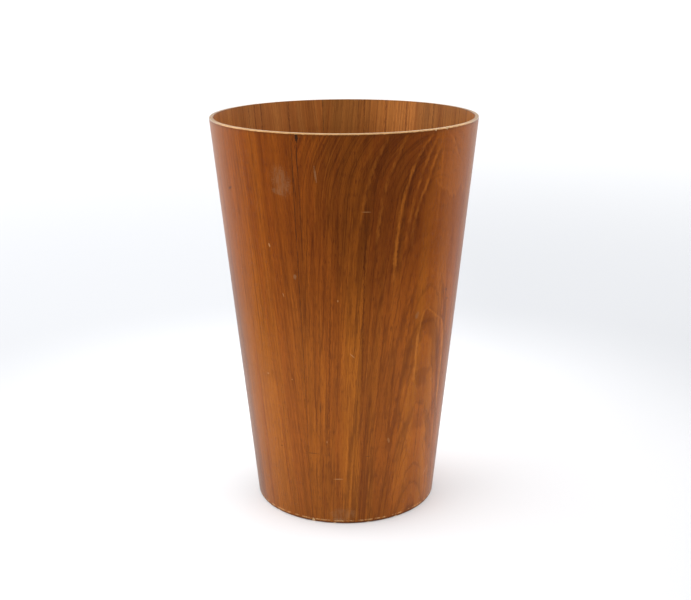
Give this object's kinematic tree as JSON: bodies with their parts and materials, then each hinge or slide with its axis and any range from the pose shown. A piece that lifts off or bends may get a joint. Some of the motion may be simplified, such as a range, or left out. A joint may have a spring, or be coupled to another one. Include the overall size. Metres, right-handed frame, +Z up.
{
  "type": "wastebasket",
  "caption": "Round tapered wastebasket of bent teak plywood, open at the top, with a veneered wall, a scarfed seam and a glued plywood base.",
  "frame": {"origin": "centre of the circle that the wall's foot stands on, on the floor", "axes": "+Z up along the basket's axis, -Y towards the front, where the camera of the source picture stood, +X to the right seen from the front"},
  "size_m": [0.2528, 0.2528, 0.38],
  "materials": {
    "teak_outside": "oiled teak veneer, satin, with fine pores and worn edges",
    "teak_inside": "oiled teak veneer, duller than the outside",
    "teak_underside": "bare teak veneer, matt",
    "pale_ply": "bare pale veneer, matt, seen on edge",
    "core_wood": "bare tan veneer, matt, seen on edge"
  },
  "bodies": {
    "root": {"outside_leaf_front": "teak_outside", "outside_leaf_back": "teak_outside", "outside_leaf_left": "teak_outside", "outer_crossband": "pale_ply", "core_ply": "core_wood", "inner_crossband": "pale_ply", "inside_leaf_front": "teak_inside", "inside_leaf_right": "teak_inside", "inside_leaf_left": "teak_inside", "base_underside_veneer": "teak_underside", "base_lower_crossband": "pale_ply", "base_core": "core_wood", "base_upper_crossband": "pale_ply", "base_floor_veneer": "teak_inside"}
  },
  "joints": []
}
